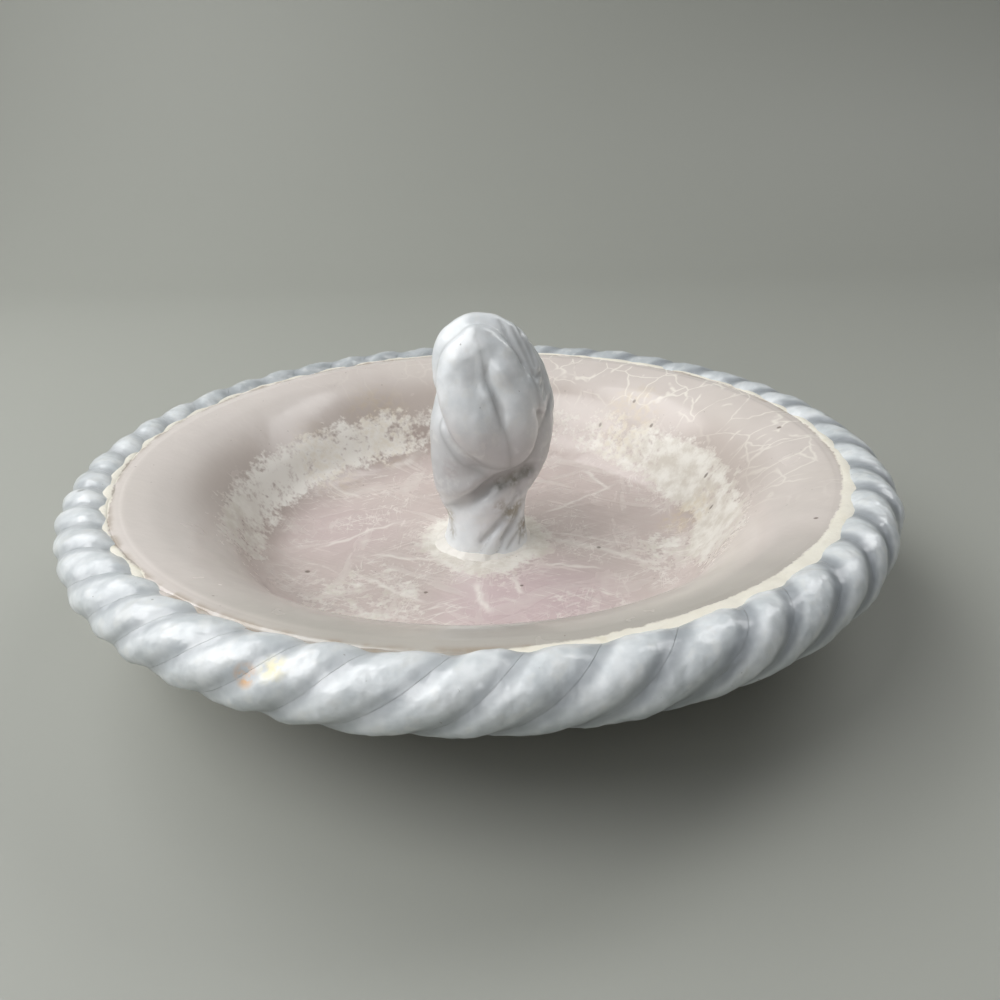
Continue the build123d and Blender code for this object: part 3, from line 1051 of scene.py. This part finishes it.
def slip_collar():
    """Rings across the skirt. The third number of its section is how far it may wander."""
    azimuths = azimuths_of(collar_steps)
    circle = spun(collar_circle, 0, azimuths)
    spread = 0.16 * lumps(circle, 3.4 * mm, 21) + 0.07 * lumps(circle, 1.1 * mm, 22)
    reach, height, pull = np.array(collar_section).T[:, :, None]
    reach, height = reach * mm + pull * spread * 3.2 * mm, height * mm
    height = height + (1 - pull) * spread * 1.5 * mm * (height > floor_height)
    return spun(reach, height, azimuths)


for name, rings, node in (
    ("rim_bead_slip", slip_bead(), "rim_slip_bead"),
    ("post_collar_slip", slip_collar(), "post_slip_collar"),
):
    slip = ring_mesh(name, rings, closed=True)
    shade_smooth(slip)
    dress(slip, node, cream_slip)

# %% [markdown]
# ## The post
#
# The post is a thick rope of clay tied in a knot while soft. Its strands were pressed together
# and the glaze ran into the creases, so they meet in soft valleys. Separate swept tubes would
# meet in hard lines. Instead every strand is written as a distance from its middle line, all the
# distances are melted together, and one even skin is drawn where the melt ends. The skin is
# then parted again at the creases, so that each strand is still a piece of its own.

# %% The lines of the strands: right, away, up from the floor, radius, in millimetres
post_rows = {
    "knot_bight_left": (
        (-0.6, -3.2, 30.4, 2.0), (-2.1, -4.4, 28.4, 2.9), (-2.3, -5.0, 25.8, 3.3),
        (-1.3, -5.2, 22.6, 3.8), (0.2, -5.2, 19.6, 3.7), (1.9, -4.7, 17.2, 3.0),
        (3.4, -3.6, 15.4, 1.9),
    ),
    "knot_bight_right": (
        (1.0, -3.4, 30.3, 2.2), (2.8, -4.6, 28.4, 2.5), (3.7, -5.2, 25.6, 2.8),
        (4.6, -5.3, 22.4, 2.9), (5.0, -5.1, 19.4, 2.8), (4.6, -4.5, 17.0, 2.5),
        (3.9, -3.6, 15.4, 1.8),
    ),
    "knot_top_pass": (
        (-3.0, -0.7, 21.8, 1.7), (-3.7, -0.9, 25.4, 2.5), (-3.1, -0.6, 29.3, 2.8),
        (-1.2, -0.2, 31.3, 2.75), (1.4, -0.2, 31.4, 2.65), (4.1, -1.0, 30.0, 2.65),
        (6.1, -2.0, 26.6, 2.45), (7.1, -2.7, 22.9, 2.0), (7.2, -2.7, 19.8, 1.4),
    ),
    "knot_side_pass": (
        (4.4, 2.9, 29.3, 2.4), (6.6, 1.7, 26.3, 2.45), (7.7, 0.7, 22.5, 2.6),
        (7.8, -0.2, 18.8, 2.6), (7.4, -0.8, 15.3, 2.6), (6.4, -0.9, 12.3, 2.4),
        (5.2, -0.8, 9.9, 2.2), (4.6, -0.3, 7.7, 1.8),
    ),
    "knot_collar_pass": (
        (-3.8, 2.4, 21.8, 2.4), (-4.3, 0.3, 18.8, 2.65), (-4.3, -1.5, 15.3, 2.7),
        (-3.9, -2.5, 11.6, 2.9), (-2.6, -3.3, 10.8, 2.7), (-0.9, -3.6, 11.7, 2.4),
        (1.0, -3.5, 13.0, 2.0), (3.2, -3.1, 14.0, 1.6), (5.0, -2.7, 14.7, 1.2),
    ),
    "knot_back_pass": (
        (-2.7, 2.4, 30.0, 2.4), (0.3, 3.9, 29.8, 2.8), (2.9, 5.3, 27.1, 2.9),
        (4.9, 5.6, 23.5, 2.9), (6.3, 4.8, 19.8, 2.8), (6.5, 3.2, 16.0, 2.6),
        (5.6, 2.0, 12.8, 2.2),
    ),
    "knot_rear_pass": (
        (-3.1, 2.7, 25.4, 2.0), (-2.7, 3.9, 23.0, 2.65), (-1.4, 5.1, 20.1, 2.9),
        (0.9, 5.6, 17.1, 2.9), (3.2, 5.1, 14.0, 2.6), (4.4, 3.6, 11.3, 2.0),
    ),
    "knot_low_pass": (
        (-3.8, 1.4, 20.1, 2.2), (-4.0, 3.2, 16.7, 2.6), (-2.9, 4.8, 13.6, 2.65),
        (-0.3, 5.5, 11.4, 2.4), (2.4, 4.9, 9.9, 1.8),
    ),
}
# clay that fills the knot under its strands, low ridges on them, and creases pressed in
fill_rows = (
    ((1.6, 0.3, 15.0, 4.6), (1.6, 0.3, 20.0, 5.6), (1.6, 0.3, 24.0, 5.3), (1.6, 0.3, 27.0, 4.1)),
    ((-0.3, -2.8, 28.9, 3.5), (0.4, -3.1, 25.5, 4.6), (1.6, -3.2, 22.0, 5.0),
     (2.8, -3.2, 18.6, 4.4), (3.3, -3.2, 17.6, 3.5)),
    ((0.2, -3.5, 30.6, 2.4), (0.6, -4.2, 29.2, 2.75), (1.0, -4.5, 27.6, 2.6),
     (1.3, -4.6, 25.6, 2.8)),
    ((2.2, -4.6, 23.0, 3.0), (2.7, -4.4, 20.6, 3.5), (3.0, -4.3, 18.4, 3.6),
     (3.2, -3.9, 16.6, 3.1)),
    ((-3.0, -1.8, 17.8, 3.6), (-2.5, -2.1, 14.8, 3.9), (-2.4, -1.7, 12.0, 3.9),
     (-2.5, -0.9, 9.4, 3.9), (-1.9, -0.6, 6.6, 3.5)),
)
ridge_rows = (
    ((1.9, -6.5, 28.8, 0.6), (2.6, -7.1, 28.0, 1.0), (3.3, -7.5, 27.1, 1.0),
     (4.0, -7.5, 26.2, 0.7)),
    ((0.5, -7.5, 25.5, 0.4), (1.2, -7.6, 24.5, 0.7), (1.9, -7.6, 23.4, 0.5)),
    ((6.6, -5.0, 25.9, 0.5), (7.6, -4.5, 23.7, 0.8), (8.1, -3.8, 21.4, 0.6)),
    ((2.2, -4.6, 10.6, 0.5), (0.8, -4.6, 9.2, 0.7), (-0.8, -4.5, 7.6, 0.5)),
)
crease_rows = (  # the crease down the loop, the one under it, then the small ones
    ((1.6, -7.0, 28.9, 0.2), (1.2, -7.2, 28.0, 0.4), (1.1, -7.4, 27.0, 0.55),
     (1.3, -7.5, 26.1, 0.6), (1.9, -7.6, 25.0, 0.55), (2.4, -7.9, 24.0, 0.55),
     (2.8, -8.1, 22.9, 0.6), (3.0, -8.2, 21.6, 0.45), (3.1, -8.3, 20.2, 0.2)),
    ((-4.8, -3.8, 7.0, 0.5), (-3.6, -4.7, 7.6, 0.8), (-1.9, -5.3, 8.7, 1.1),
     (-0.4, -5.1, 9.9, 1.3), (1.1, -4.9, 11.0, 1.4), (2.6, -4.7, 11.7, 1.5),
     (4.0, -4.3, 12.1, 1.5), (5.5, -3.7, 12.4, 1.3), (7.0, -3.0, 12.9, 0.9)),
    ((-0.5, -5.0, 10.4, 0.3), (0.9, -5.0, 11.5, 0.55), (2.2, -4.9, 12.2, 0.75),
     (3.8, -4.5, 12.7, 0.8), (5.4, -3.8, 13.1, 0.6)),
    ((3.0, -1.6, 33.4, 0.3), (3.8, -2.9, 32.2, 0.5), (4.9, -4.1, 30.2, 0.55),
     (6.0, -4.5, 28.0, 0.4)),
    ((4.6, -1.9, 32.4, 0.3), (5.4, -3.0, 31.0, 0.4), (6.4, -3.7, 29.2, 0.4),
     (7.4, -4.3, 26.6, 0.4)),
    ((5.4, -0.6, 32.4, 0.3), (6.1, -2.2, 31.4, 0.4), (6.9, -2.8, 30.0, 0.4),
     (7.6, -3.7, 27.6, 0.3)),
    ((9.0, -1.5, 27.0, 0.35), (8.3, -3.2, 26.4, 0.45), (7.7, -4.2, 26.0, 0.3)),
    ((9.4, -1.0, 25.9, 0.35), (8.8, -2.8, 25.3, 0.5), (8.3, -4.0, 24.9, 0.3)),
    ((9.7, -1.0, 24.4, 0.35), (9.2, -2.6, 23.9, 0.5), (8.6, -4.0, 23.3, 0.3)),
    ((9.9, -0.8, 22.7, 0.35), (9.6, -2.0, 21.4, 0.5), (9.2, -2.6, 20.2, 0.3)),
    ((7.9, -4.7, 21.6, 0.5), (8.3, -4.0, 20.6, 0.7), (8.5, -3.4, 19.4, 0.5)),
    ((4.9, -3.0, 8.4, 0.4), (4.2, -3.7, 7.0, 0.6), (2.6, -4.6, 5.2, 0.6), (0.9, -5.2, 3.5, 0.55),
     (-0.4, -5.4, 2.4, 0.3)),
    ((5.7, -1.8, 6.2, 0.35), (4.3, -3.6, 4.2, 0.5), (2.6, -4.9, 2.4, 0.4)),
    ((5.4, -3.0, 2.9, 0.2), (4.3, -4.2, 1.9, 0.35), (3.3, -5.0, 0.8, 0.2)),
    ((6.1, -1.8, 3.0, 0.2), (5.7, -2.9, 1.9, 0.3), (5.3, -3.7, 0.9, 0.2)),
)
# how dark each crease is painted: thick glaze with painted shade; the crease under the loop,
# darkest, is painted shade of the undercut
crease_darkness = (0.45, 0.8, 1.0) + (0.6,) * (len(crease_rows) - 3)
stem_lobes = {  # where each strand starts and ends round the stem, in degrees
    "stem_strand_back": (24, 128), "stem_strand_front": (128, 254),
    "stem_thin_cord": (254, 280), "stem_strand_right": (280, 384),
}
stem_rise = 13.2 * mm
stem_top = 15.5 * mm
stem_twist = 94
stem_waist = 5.35
lobe_depth = 0.6
lobe_full_width = 124
melt = 0.34 * mm
crease_depth = 0.85
skin_step = 0.19 * mm
post_low = np.array((-10.0, -10.6, 3.6)) * mm
post_high = np.array((13.4, 10.8, 40.2)) * mm


def strand_runs(rows):
    """Straight runs along a strand: two ends and two radii each, in metres from the table."""
    line = smooth_through(rows, 6) * mm
    line[:, 2] += floor_height
    return list(zip(line, line[1:]))


def run_distance(points, start, end):
    """Distance from one tapering run, less than 0 inside it."""
    along = end[:3] - start[:3]
    share = np.clip((points - start[:3]) @ along / (along @ along), 0, 1)
    middle = start[:3] + share[..., None] * along
    radius = start[3] + share * (end[3] - start[3])
    return np.linalg.norm(points - middle, axis=-1) - radius


def stem_distance(points, lobe=None):
    """Distance from the twisted stem, or from one of its strands."""
    height = points[..., 2] - floor_height
    share = np.clip(height / stem_rise, -0.1, 1.3)
    lean = (0.45 + 1.05 * share**2) * mm
    right, away = points[..., 0] - lean, points[..., 1]
    angle = np.degrees(np.arctan2(away, right)) - stem_twist * share
    width = stem_waist + 1.05 * np.clip(1 - share, 0, 2) ** 3.2 + 0.45 * share**2
    nearest = np.full(points.shape[:-1], 1.0)
    for name, (start, end) in stem_lobes.items():
        if lobe in (None, name):
            turn = (angle - start) % 360
            inside = turn / (end - start)
            depth = lobe_depth * ((end - start) / lobe_full_width) ** 0.5
            bulge = 1 - np.abs(2 * np.clip(inside, -0.5, 1.5) - 1) ** 2.6
            reach = (width - lobe_depth + depth * bulge) * mm
            gap = np.where(inside > 1, np.minimum(turn - (end - start), 360 - turn), 0)
            away_from_lobe = np.radians(np.clip(gap, 0, 90)) * np.hypot(right, away)
            nearest = np.minimum(nearest, np.hypot(right, away) - reach + away_from_lobe)
    return np.maximum(nearest * 0.92, height - stem_top)


print(sum(len(strand_runs(rows)) for rows in post_rows.values()), "runs in the knot")


# %% Melt the strands together on a grid
nothing_poured = 1e-12
pour_reach = 1.4 * mm
crease_reach = 2.6 * mm
stem_box_top = 21 * mm
sunk_foot = 4.15 * mm


def melted_post():
    """A grid of distances from the melted clay, with the creases pressed in."""
    counts = np.ceil((post_high - post_low) / skin_step).astype(int) + 1
    axes = [post_low[axis] + skin_step * np.arange(counts[axis]) for axis in range(3)]

    def block_round(low, high):
        first = np.clip(((low - post_low) / skin_step).astype(int), 0, counts)
        last = np.clip(((high - post_low) / skin_step).astype(int) + 2, 0, counts)
        box = tuple(map(slice, first, last))
        grid = np.meshgrid(*[axis[part] for axis, part in zip(axes, box)], indexing="ij")
        return box, np.stack(grid, -1)

    def poured(distance):
        return np.exp(-np.clip(distance, -2 * mm, 6 * mm) / melt)

    total = np.full(counts, nothing_poured)
    for rows in (*post_rows.values(), *fill_rows, *ridge_rows):
        runs = strand_runs(rows)
        margin = max(start[3] for start, _ in runs) + pour_reach
        ends = np.array([start[:3] for start, _ in runs] + [runs[-1][1][:3]])
        box, block = block_round(ends.min(axis=0) - margin, ends.max(axis=0) + margin)
        nearest = np.full(block.shape[:-1], 1.0)
        for start, end in runs:
            np.minimum(nearest, run_distance(block, start, end), out=nearest)
        total[box] += poured(nearest)
    box, block = block_round(post_low, np.append(post_high[:2], stem_box_top))
    total[box] += poured(stem_distance(block))
    field = -melt * np.log(total)
    for rows in crease_rows:
        cut = np.zeros(counts)
        for start, end in strand_runs(rows):
            low, high = np.minimum(start[:3], end[:3]), np.maximum(start[:3], end[:3])
            box, block = block_round(low - crease_reach, high + crease_reach)
            width = (start[3] + end[3]) / 2
            away = run_distance(block, start, end) + width
            cut[box] = np.maximum(cut[box], crease_depth * width * np.exp(-((away / width) ** 2)))
        field += cut
    for axis in (0, 1, 2) * 2:
        line = np.moveaxis(field, axis, 0)
        line[1:-1] = (line[:-2] + 2 * line[1:-1] + line[2:]) / 4
    return np.maximum(field, sunk_foot - axes[2])


def skin_of(field):
    """A quad skin where the field crosses zero, with one point in each crossed cell."""
    inside = field < 0
    size = np.array(field.shape) - 1
    blocks = {
        corner: field[tuple(slice(c, c + n) for c, n in zip(corner, size))]
        for corner in np.ndindex(2, 2, 2)
    }
    count = sum((block < 0).astype(int) for block in blocks.values())
    cells = np.argwhere((count > 0) & (count < 8))
    index = np.full(size, -1)
    index[tuple(cells.T)] = np.arange(len(cells))
    place = np.zeros((len(cells), 3))
    hits = np.zeros(len(cells))
    for corner, axis in np.ndindex(8, 3):
        start = np.array(np.unravel_index(corner, (2, 2, 2)))
        if start[axis]:
            continue
        end = start + np.eye(3, dtype=int)[axis]
        low, high = (blocks[tuple(side)][tuple(cells.T)] for side in (start, end))
        crossed = (low < 0) != (high < 0)
        spot = np.tile(start.astype(float), (len(cells), 1))
        spot[:, axis] = np.where(crossed, low / np.where(crossed, low - high, 1), 0)
        place += np.where(crossed[:, None], spot, 0)
        hits += crossed
    place = post_low + skin_step * (cells + place / hits[:, None])
    quads = []
    for axis in range(3):
        one, two = (axis + 1) % 3, (axis + 2) % 3
        low, high = [slice(1, -1)] * 3, [slice(1, -1)] * 3
        low[axis], high[axis] = slice(0, -1), slice(1, None)
        starts, ends = inside[tuple(low)], inside[tuple(high)]
        for leaving in (True, False):
            edges = np.argwhere((starts != ends) & (starts == leaving))
            around = []
            for step in ((0, 0), (1, 0), (1, 1), (0, 1)):
                cell = edges.copy()
                cell[:, (one, two)] += step
                around.append(index[tuple(cell.T)])
            quad = np.stack(around, -1)
            quads.append(quad if leaving else quad[:, ::-1])
    return place, np.vstack(quads)


field = melted_post()
skin_points, skin_faces = skin_of(field)
print(len(skin_points), "points and", len(skin_faces), "faces in the post's skin")


# %% Press the skin a little, and find whose it is
valley_darkness, valley_width = 0.5, 0.5 * mm
lean_from, lean_over, lean_share = 20 * mm, 9 * mm, 0.2


def point_normals(points, faces):
    one = points[faces[:, 2]] - points[faces[:, 0]]
    two = points[faces[:, 3]] - points[faces[:, 1]]
    across = np.cross(one, two)
    total = np.zeros_like(points)
    for corner in range(4):
        np.add.at(total, faces[:, corner], across)
    return total / np.linalg.norm(total, axis=1)[:, None]


def strand_distances(points):
    """How far each point is from every strand of the post: one row for each strand."""
    rows = []
    for strand in post_rows.values():
        runs = strand_runs(strand)
        rows.append(np.min([run_distance(points, start, end) for start, end in runs], axis=0))
    for lobe in stem_lobes:
        rows.append(stem_distance(points, lobe))
    return np.array(rows)


strand_names = list(post_rows) + list(stem_lobes)
distances = strand_distances(skin_points)
nearest_two = np.sort(distances, axis=0)[:2]
# darker glaze where strands meet and along the creases: thick glaze, with painted shade in the
# hollows
skin_crease = valley_darkness * np.exp(-(nearest_two[1] - nearest_two[0]) / valley_width)
for row, darkness in zip(crease_rows, crease_darkness):
    for start, end in strand_runs(row):
        width = (start[3] + end[3]) / 2
        away = run_distance(skin_points, start, end) + width
        skin_crease = np.maximum(skin_crease, darkness * np.exp(-((away / width) ** 2)))
face_owner = distances[:, skin_faces].mean(axis=2).argmin(axis=0)
upward = np.clip((skin_points[:, 2] - floor_height - lean_from) / lean_over, 0, 1)
lean_back = 1 - lean_share * upward * upward * (3 - 2 * upward)
skin_points[:, 1] *= np.where(skin_points[:, 1] < 0, lean_back, 1)
normals = point_normals(skin_points, skin_faces)
press = 0.18 * lumps(skin_points, 3.3 * mm, 31) + 0.075 * lumps(skin_points, 1.3 * mm, 32)
skin_points = skin_points + normals * (press * mm)[:, None]
normals = point_normals(skin_points, skin_faces)
for number, name in enumerate(strand_names):
    print(name, int((face_owner == number).sum()), "faces")


# %% Part the skin into closed shells, one for each strand
shell_thickness = 0.5 * mm


def shell(name, faces):
    """One strand's share of the skin, with an inner side and a wall along its edge."""
    used, flat = np.unique(faces, return_inverse=True)
    outer = flat.reshape(faces.shape)
    count = len(used)
    starts = outer.reshape(-1)
    ends = np.roll(outer, -1, axis=1).reshape(-1)
    rim = ~np.isin(starts * count + ends, ends * count + starts)
    a, b = starts[rim], ends[rim]
    wall = np.stack([b, a, a + count, b + count], -1)
    back = outer[:, ::-1] + count
    inner = skin_points[used] - normals[used] * shell_thickness
    points = np.vstack([skin_points[used], inner])
    piece = mesh_object(name, points, np.vstack([outer, back, wall]))
    shade_smooth(piece)
    first, second, third, fourth = points[wall].transpose(1, 0, 2)
    wall_across = np.cross(third - first, fourth - second)
    wall_across /= np.maximum(np.linalg.norm(wall_across, axis=1), 1e-12)[:, None]
    corner_normals = np.vstack([
        normals[used][outer.reshape(-1)],
        -normals[used][back.reshape(-1) - count],
        np.repeat(wall_across, 4, axis=0),
    ])
    if len(piece.data.loops) == len(corner_normals):
        piece.data.normals_split_custom_set(corner_normals.tolist())
    mark = piece.data.attributes.new("crease", "FLOAT", "POINT")
    mark.data.foreach_set("value", np.tile(skin_crease[used], 2))
    return piece


for number, node in enumerate(strand_names):
    piece = shell(node + "_clay", skin_faces[face_owner == number])
    dress(piece, node, post_glaze)

# %% [markdown]
# ## The plain cores
#
# Two solids of the frame lie inside the clay that shows: the coil in the rope and the heart of
# the knot. They keep their own meshes, and only take the glaze, in case an edge is ever seen.

# %% Glaze the cores
for node in ("rim_heart_coil", "knot_heart"):
    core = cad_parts[node]
    core.data.materials.clear()
    core.data.materials.append(core_glaze)
print("two cores glazed")
